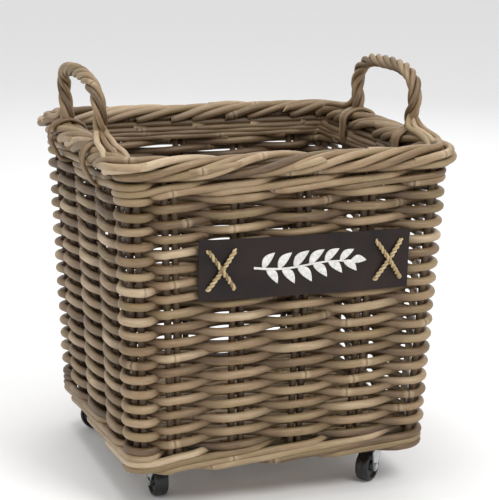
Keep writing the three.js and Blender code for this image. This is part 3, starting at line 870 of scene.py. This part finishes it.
def bound(middle, side, rng):
    """The split canes that bind a handle's foot over the rim. They draw together under it."""
    for spread in HUG_SPREAD:
        lean = rng.uniform(-1.5, 1.5)
        points = []
        for out, up in HUG:
            near_top = (up + 40) / 60
            along = spread * (0.55 + 0.45 * near_top) + lean * near_top
            points.append((abs(middle.x) + out * MM, middle.y + along * MM, rim_middle + up * MM))
        path = smooth_path(points, 4 * MM, closed=True)[:-1] * (side, 1, 1)
        # A light painted shade on the binding canes.
        yield Rod(path, BINDING, shade_of(rng, 0.5, 0.2), 0.1, closed=True)


rng = np.random.default_rng(5)
for side, name in ((1, "right"), (-1, "left")):
    line = handle_line(name, side)
    rods = list(twisted(line, side, rng))
    for end in (-1, 1):
        rods += fanned(line, side, end, rng)
    show_rods(f"{name}_handle_twist", rods, 50 + side, 12, replaces=[f"{name}_handle"])
    for end, end_name in ((-1, "front"), (1, "back")):
        tie = f"{name}_handle_{end_name}_tie"
        middle = sum(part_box(tie), Vector()) / 2
        rods = list(bound(middle, side, rng))
        show_rods(f"{name}_{end_name}_binding", rods, 60 + end * 2 + side, 10, replaces=[tie])
print("two handles, each with two bindings of", len(HUG_SPREAD), "canes")

# %% Floor mat
mat_low, mat_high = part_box("floor_mat")
mat_z = (mat_low.z + mat_high.z) / 2
MAT_RODS = 32
CROSS_RODS = 7
cross_x = np.linspace(mat_low.x + 22 * MM, mat_high.x - 22 * MM, CROSS_RODS)
rods = []
for j in range(MAT_RODS):
    y = mat_low.y + (j + 0.5) * (mat_high.y - mat_low.y) / MAT_RODS
    x = np.linspace(mat_low.x, mat_high.x, 76)
    near = np.exp(-(((x[:, None] - cross_x[None]) / (14 * MM)) ** 2))
    over = (near * np.where((np.arange(CROSS_RODS) + j) % 2 == 0, 1, -1)).sum(1)
    path = np.stack([x, np.full_like(x, y), mat_z + 2.2 * MM * over], -1)
    # The floor's canes get a light painted shade, as they lie inside the basket.
    rods.append(Rod(path, rng.uniform(4.6, 5.2) * MM, shade_of(rng, 0.45), 0.2))
CROSS_CANE = 4.0 * MM
for x in cross_x:
    y = np.linspace(mat_low.y, mat_high.y, 40)
    path = np.stack([np.full_like(y, x), y, np.full_like(y, mat_z)], -1)
    # The cross canes under the mat get more painted shade.
    rods.append(Rod(path, CROSS_CANE, 0.4, 0.4))
show_rods("floor_weave", rods, 71, 10, replaces=["floor_mat"])
print("floor:", MAT_RODS, "canes over", CROSS_RODS)

# %% [markdown]
# ## Plaque
#
# A thin plate of enamelled sheet, slightly bowed, is laced to the front with twisted seagrass. The
# plate and its eight holes come from the design. On it lies a raised sprig of leaves, which could be
# a flat decal, but a raised one catches light along its edges as a painted casting does.
# First come the finishes of the plaque and of everything under the basket. Each is one or two colours
# and a gloss, broken up by noise on Object coordinates, so that nothing looks new and even.

# %% Enamel and its ornament
enamel = Finish("plaque_enamel")
place = enamel.node("ShaderNodeTexCoord", output="Object")
mottle = enamel.noise(place, 18.0, 4.0, 0.6)
grain = enamel.noise(place, 900.0, 2.0)
worn = enamel.noise(place, 60.0, 5.0, 0.7)
body_colour = enamel.ramp(mottle, [(0.3, paint(20, 13, 12)), (0.7, paint(38, 24, 21))])
enamel.set(Base_Color=body_colour, Roughness=0.42 + (worn - 0.5) * 0.3, Specular_IOR_Level=0.25)
enamel.bump(grain + mottle * 2.0, 0.0002, 0.5)

raised = Finish("ornament_paint")
place = raised.node("ShaderNodeTexCoord", output="Object")
chalk = raised.noise(place, 220.0, 4.0, 0.65)
raised.set(
    Base_Color=raised.ramp(chalk, [(0.3, paint(186, 184, 180)), (0.65, paint(222, 221, 217))]),
    Roughness=0.5 + (chalk - 0.5) * 0.3,
)
raised.bump(chalk, 0.0002, 0.6)
print("finishes:", enamel.material.name, "and", raised.material.name)

# %% Twine and timber
TWINE_SHADES = [
    (0.0, paint(96, 76, 48)),
    (0.4, paint(150, 126, 88)),
    (0.7, paint(186, 164, 124)),
    (1.0, paint(214, 196, 160)),
]
twine = cane_finish("twine", TWINE_SHADES, 0.72, paint(150, 132, 84))

timber = Finish("batten_wood")
place = timber.node("ShaderNodeTexCoord", output="Object")
stretched = timber.scaled(place, (3.0, 40.0, 40.0))
grain = timber.noise(stretched, 6.0, 6.0, 0.6)
pores = timber.noise(timber.scaled(place, (30.0, 600.0, 600.0)), 1.0, 3.0)
TIMBER_SHADES = [(0.3, paint(128, 96, 60)), (0.5, paint(166, 132, 88)), (0.7, paint(190, 158, 112))]
wood = timber.ramp(grain, TIMBER_SHADES)
wood = timber.mix(timber.step(pores, 0.55, 0.7) * 0.35, wood, paint(96, 70, 44))
timber.set(Base_Color=wood, Roughness=0.7)
timber.bump(grain + pores * 0.5, 0.0005, 0.6)
print("finishes:", twine.name, "and", timber.material.name)

# %% Zinc and plastic
zinc = Finish("zinc_plate")
place = zinc.node("ShaderNodeTexCoord", output="Object")
cloud = zinc.noise(place, 70.0, 4.0, 0.6)
scratch = zinc.noise(zinc.scaled(place, (400.0, 60.0, 90.0)), 2.0, 4.0, 0.6)
zinc.set(
    Base_Color=zinc.ramp(cloud, [(0.3, paint(170, 172, 174)), (0.7, paint(206, 208, 210))]),
    Metallic=1.0,
    Roughness=0.3 + (scratch - 0.5) * 0.16 + (cloud - 0.5) * 0.12,
)
zinc.bump(scratch, 0.00003, 0.4)

plastic = Finish("wheel_plastic")
place = plastic.node("ShaderNodeTexCoord", output="Object")
dust = plastic.noise(place, 90.0, 5.0, 0.7)
scuff = plastic.noise(place, 600.0, 3.0, 0.6)
dusty = plastic.step(dust, 0.5, 0.75) * 0.22
plastic.set(
    Base_Color=plastic.mix(dusty, paint(20, 20, 22), paint(88, 82, 74)),
    Roughness=0.4 + (scuff - 0.5) * 0.25 + dusty,
)
plastic.bump(scuff, 0.0001, 0.5)
print("finishes:", zinc.material.name, "and", plastic.material.name)


# %% Design nodes kept as they are
def smooth_by_angle(piece, degrees):
    """Shades a piece smooth, but for its edges that turn more than an angle."""
    bpy.ops.object.select_all(action="DESELECT")
    piece.select_set(True)
    bpy.context.view_layer.objects.active = piece
    bpy.ops.object.shade_smooth_by_angle(angle=math.radians(degrees))
    piece.select_set(False)


def dress(node, finish, rounding, segments=2):
    """Keeps a piece of the design, with its edges eased and a finish on it."""
    piece = frame["nodes"][node]
    bevel = piece.modifiers.new("eased edges", "BEVEL")
    bevel.width = rounding
    bevel.segments = segments
    bevel.limit_method = "ANGLE"
    bevel.angle_limit = math.radians(38)
    bevel.harden_normals = False
    piece.data.materials.clear()
    piece.data.materials.append(finish)
    smooth_by_angle(piece, 32)


dress("plaque", enamel.material, 0.5 * MM)
for node in ("front_batten", "rear_batten"):
    dress(node, timber.material, 1.5 * MM, 3)
joints = {j["name"]: j for j in frame["record"]["behaviour"]["joints"]}
CASTERS = [name.removesuffix("_roll") for name in joints if name.endswith("_roll")]
CASTER_PARTS = (("top_plate", 0.5), ("kingpin", 0.7), ("fork", 0.5), ("axle", 0.5))  # and rounding in mm
for caster in CASTERS:
    for part, rounding in CASTER_PARTS:
        dress(f"{caster}_{part}", zinc.material, rounding * MM)
print("kept from the design:", 3 + len(CASTER_PARTS) * len(CASTERS), "pieces")

# %% The plaque's own directions
lean = math.atan2(OUTLINE_HEAD - OUTLINE_FOOT, STAKE_HEAD - STAKE_FOOT)
RIGHT = np.array((1.0, 0, 0))
UP = np.array((0, -math.sin(lean), math.cos(lean)))
OUT = np.array((0, -math.cos(lean), -math.sin(lean)))
corners = np.array([v.co for v in frame["nodes"]["plaque"].data.vertices])
across, up, out = corners @ RIGHT, corners @ UP, corners @ OUT
plaque_x = (across.min() + across.max()) / 2
plaque_up = (up.min() + up.max()) / 2
plaque_half = (across.max() - across.min()) / 2
face_middle = out.max()
face_end = out[np.abs(across - plaque_x) > plaque_half - MM].max()


def on_plaque(x, y, lift=0.0):
    """A place on the plaque's face: right of its middle, above its middle, and above its face."""
    x, y, lift = np.broadcast_arrays(np.asarray(x, float), y, lift)
    face = face_middle - (face_middle - face_end) * (x / plaque_half) ** 2
    across = (plaque_x + x)[..., None] * RIGHT
    return across + (plaque_up + y)[..., None] * UP + (face + lift)[..., None] * OUT


bow = face_middle - face_end
print("plaque:", round(2 * plaque_half / MM), "mm wide, bowed by", round(bow / MM, 1), "mm")


# %% Sprig
# Each leaf is a small dome of rings that shrink to a midrib. A stem joins the leaves.
LEAF_DOME = ((1.0, -0.2), (1.0, 1.0), (0.9, 1.5), (0.5, 1.7), (0.06, 1.15))  # share of size, mm of lift


def leaf_rings(x, y, heading, length, width):
    """A raised leaf as rings of places on the plaque, from its edge to the line of its midrib."""
    share = np.linspace(0, 1, 15)
    breadth = width * np.sin(math.pi * share**0.85) ** 0.9
    edge = np.concatenate([
        np.column_stack([length * share, breadth]),
        np.column_stack([length * share[::-1], -breadth[::-1]])[1:-1],
    ])
    curve = 0.10 * length * np.sin(math.pi * edge[:, 0] / length)
    rings = []
    for shrink, lift in LEAF_DOME:
        ring = np.column_stack([
            length * 0.5 + (edge[:, 0] - length * 0.5) * (0.35 + 0.65 * shrink),
            edge[:, 1] * shrink + curve,
        ])
        turned_x = ring[:, 0] * math.cos(heading) - ring[:, 1] * math.sin(heading)
        turned_y = ring[:, 0] * math.sin(heading) + ring[:, 1] * math.cos(heading)
        rings.append(on_plaque(x + turned_x, y + turned_y, lift * MM))
    return np.array(rings)


def mesh_of_rings(name, leaves):
    """One mesh of several closed pieces, each a stack of rings."""
    points, faces = [], []
    for rings in leaves:
        count, around = rings.shape[:2]
        base = sum(len(p) for p in points)
        points.append(rings.reshape(-1, 3))
        for i in range(count - 1):
            for j in range(around):
                k = (j + 1) % around
                faces.append([base + i * around + j, base + i * around + k,
                              base + (i + 1) * around + k, base + (i + 1) * around + j])
        faces.append([base + (count - 1) * around + j for j in range(around)])
        faces.append([base + j for j in range(around)][::-1])
    mesh = bpy.data.meshes.new(name)
    mesh.from_pydata(np.concatenate(points).tolist(), [], faces)
    return mesh


def recalculate(mesh):
    """Turns every face of a closed mesh outwards."""
    work = bmesh.new()
    work.from_mesh(mesh)
    bmesh.ops.recalc_face_normals(work, faces=work.faces)
    work.to_mesh(mesh)
    work.free()


def stem_y(x):
    """The height of the stem's slow wave above the plaque's middle."""
    return 3 * MM * math.sin(x / (72 * MM) * math.pi)


leaves = []
LEAF_PAIRS = 6
STEM_TIP = 64 * MM
for i in range(LEAF_PAIRS):
    x = (-62 + i * 22) * MM
    size = 1.22 - 0.07 * abs(i - 2)
    for side in (-1, 1):
        root = x + (5 * MM if side < 0 else 0)
        heading = side * math.radians(52 - 3 * i)
        leaves.append(leaf_rings(root, stem_y(root), heading, 25 * MM * size, 5.2 * MM * size * side))
last = STEM_TIP - 1 * MM
leaves.append(leaf_rings(last, stem_y(last), 0.0, 24 * MM, 5.6 * MM))
sprig = mesh_of_rings("sprig_leaves", leaves)
recalculate(sprig)
for face in sprig.polygons:
    face.use_smooth = len(face.vertices) == 4
show("sprig", sprig, raised.material)
stem_x = np.linspace(-74 * MM, STEM_TIP, 60)
stem_path = on_plaque(stem_x, np.array([stem_y(x) for x in stem_x]), 0.7 * MM)
stem = Rod(stem_path, np.linspace(1.7, 1.1, 60) * MM, 0.5)
show_rods("sprig_stem", [stem], 81, 10, raised.material)
print("sprig:", len(leaves), "leaves")

# %% Lashings
# Each cross is one cord of two plies, up through a hole, over and down through the opposite one.
PLY = 1.7 * MM
PLY_TWIST = 13 * MM
HOLE_INSET = 2.5 * MM  # from the end of the design's lashing to the middle of its hole
BEHIND = -7 * MM  # how deep behind the face a cord ends


def lashing_line(low, high, tilt, rise):
    """The line of one cord of a cross, which rises so far in its middle."""
    share = np.linspace(0, 1, 9)
    x = low[0] + HOLE_INSET + (high[0] - low[0] - 2 * HOLE_INSET) * share
    y = (high[1] + low[1]) / 2 + tilt * (high[1] - low[1] - 2 * HOLE_INSET) * (share - 0.5)
    lift = (1.6 + rise * np.sin(math.pi * share) ** 1.3) * MM
    ends = [(x[k], y[k]) for k in (0, -1)]
    (behind_a, face_a), (behind_b, face_b) = (
        [on_plaque(*end, depth) for depth in (BEHIND, 1 * MM)] for end in ends
    )
    over = on_plaque(x[1:-1], y[1:-1], lift[1:-1])
    return smooth_path(np.vstack([behind_a, face_a, over, face_b, behind_b]), 1.0 * MM)


for name in ("left_lashing", "right_lashing"):
    corners = np.array([v.co for v in frame["nodes"][name].data.vertices])
    flat = np.column_stack([corners @ RIGHT, corners @ UP]) - (plaque_x, plaque_up)
    rng = np.random.default_rng(len(name))
    plies = []
    for tilt, rise in ((1, 2.4), (-1, 5.0)):
        line = lashing_line(flat.min(0), flat.max(0), tilt, rise)
        _, side_way, over_way = frames_along(line)
        turn = TURN * distances(line) / PLY_TWIST + rng.uniform(0, TURN)
        for ply in range(2):
            angle = turn + ply * TURN / 2
            coil = np.cos(angle)[:, None] * side_way + np.sin(angle)[:, None] * over_way
            thick = PLY * rng.uniform(0.85, 1.1)
            plies.append(Rod(line + coil * PLY * 0.95, thick, shade_of(rng, 0.5, 0.2)))
    show_rods(name + "_cord", plies, 90 + len(name), 8, twine, [name])
print("two crosses of two cords, each of two plies")

# %% [markdown]
# ## Casters
#
# Plastic wheels run in pressed forks. A wheel is turned like one on a lathe: its half section is
# drawn once, and the Screw modifier spins it round the axle. A cylinder with bevels would do for the
# tread, but not for the sunk web and the hub.

# %% Wheels
WHEEL_HALF = 10 * MM  # half the wheel's width
HUB = 7.5 * MM
BORE = 3.3 * MM
# From the hub to the tread, in mm: how far in from the rim's radius, how far in from the wheel's face.
TREAD = [(5.4, 3.4), (4.6, 0.6), (4.0, 0.1), (2.4, 0.2), (1.0, 1.1), (0.25, 2.8)]


def wheel_section(radius):
    """Half of a wheel's section, from bore to tread, as distances from its axis and its middle."""
    hub_face = WHEEL_HALF + 0.8 * MM
    hub = [(BORE, hub_face), (HUB - 0.8 * MM, hub_face), (HUB, WHEEL_HALF)]
    hub.append((HUB + 0.6 * MM, WHEEL_HALF - 3.2 * MM))
    tread = [(radius - r * MM, WHEEL_HALF - h * MM) for r, h in TREAD]
    return hub + tread + [(radius, WHEEL_HALF * 0.45), (radius, 0.6 * MM), (radius - 0.3 * MM, 0.0)]


def wheel_mesh(name, radius):
    """A wheel about the Z axis."""
    section = wheel_section(radius)
    ring = section + [(r, -h) for r, h in section[-2::-1]]
    mesh = bpy.data.meshes.new(name)
    count = len(ring)
    mesh.from_pydata([(r, 0, h) for r, h in ring], [(i, (i + 1) % count) for i in range(count)], [])
    lathe = bpy.data.objects.new(name, mesh)
    bpy.context.scene.collection.objects.link(lathe)
    screw = lathe.modifiers.new("lathe", "SCREW")
    screw.steps = screw.render_steps = 72
    screw.use_merge_vertices = True
    screw.merge_threshold = 0.01 * MM
    turned = bpy.data.meshes.new_from_object(lathe.evaluated_get(bpy.context.evaluated_depsgraph_get()))
    bpy.data.objects.remove(lathe)
    recalculate(turned)
    for face in turned.polygons:
        face.use_smooth = True
    return turned


for caster in CASTERS:
    joint = joints[caster + "_roll"]
    axis = Vector(joint["axis"]).normalized()
    low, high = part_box(caster + "_wheel")
    radius = (high.z - low.z) / 2
    mesh = wheel_mesh(caster + "_wheel_turned", radius)
    facing = axis.to_track_quat("Z", "Y").to_matrix().to_4x4()
    mesh.transform(Matrix.Translation(Vector(joint["pos_m"])) @ facing)
    body = caster + "_wheel"
    wheel = show(caster + "_wheel_turned", mesh, plastic.material, body, [body])
    smooth_by_angle(wheel, 40)
print("wheels:", len(CASTERS), "of radius", round(radius / MM, 1), "mm")

# %% A screw
# A low dome with a cross cut in it. One is modelled and copied to its places.
SCREW_HEAD = 3.4 * MM  # radius
bpy.ops.object.select_all(action="DESELECT")
bpy.ops.mesh.primitive_cylinder_add(vertices=20, radius=SCREW_HEAD, depth=2.0 * MM)
model_screw = bpy.context.object
eased = model_screw.modifiers.new("dome", "BEVEL")
eased.width = 1.2 * MM
eased.segments = 3
bpy.ops.object.modifier_apply(modifier="dome")
for turn in (0, math.pi / 2):
    bpy.ops.mesh.primitive_cube_add(size=1, rotation=(0, 0, turn))
    blade = bpy.context.object
    blade.scale = (3.6 * MM, 0.8 * MM, 1.6 * MM)
    blade.location = (0, 0, -1.2 * MM)
    bpy.context.view_layer.update()
    recess = model_screw.modifiers.new("recess", "BOOLEAN")
    recess.operation = "DIFFERENCE"
    recess.object = blade
    bpy.context.view_layer.objects.active = model_screw
    bpy.ops.object.modifier_apply(modifier="recess")
    bpy.data.objects.remove(blade)
print("one screw:", len(model_screw.data.polygons), "faces")

# %% Screws in the top plates
SCREW_APART = 31 * MM
PLATE = 2 * MM  # thickness
SCREW_SINK = 0.7 * MM  # from the plate's underside down to the middle of a screw's head
rng = np.random.default_rng(3)
for caster in CASTERS:
    pin = joints[caster + "_swivel"]["pos_m"]
    plate_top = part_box(caster + "_top_plate")[1].z
    for i, (dx, dy) in enumerate(((-1, -1), (1, -1), (1, 1), (-1, 1))):
        mesh = model_screw.data.copy()
        x, y = pin[0] + dx * SCREW_APART / 2, pin[1] + dy * SCREW_APART / 2
        place = Vector((x, y, plate_top - PLATE - SCREW_SINK))
        mesh.transform(Matrix.Translation(place) @ Matrix.Rotation(rng.uniform(0, TURN), 4, "Z"))
        show(f"{caster}_screw_{i + 1}", mesh, zinc.material)
bpy.data.objects.remove(model_screw)
print("screws:", 4 * len(CASTERS))

# %% [markdown]
# ## Floor
#
# A wide pale sweep, far larger than the basket, so that no edge of it is ever seen.

# %% Floor
ground = Finish("studio_floor")
ground.set(Base_Color=paint(236, 236, 236), Roughness=0.75)
bpy.ops.object.select_all(action="DESELECT")
bpy.ops.mesh.primitive_plane_add(size=60, location=(0, 0, -0.2 * MM))
studio_floor = bpy.context.object
studio_floor.data.materials.append(ground.material)
faces = sum(len(p.data.polygons) for p in PIECES)
print(len(PIECES), "new pieces,", faces, "faces")
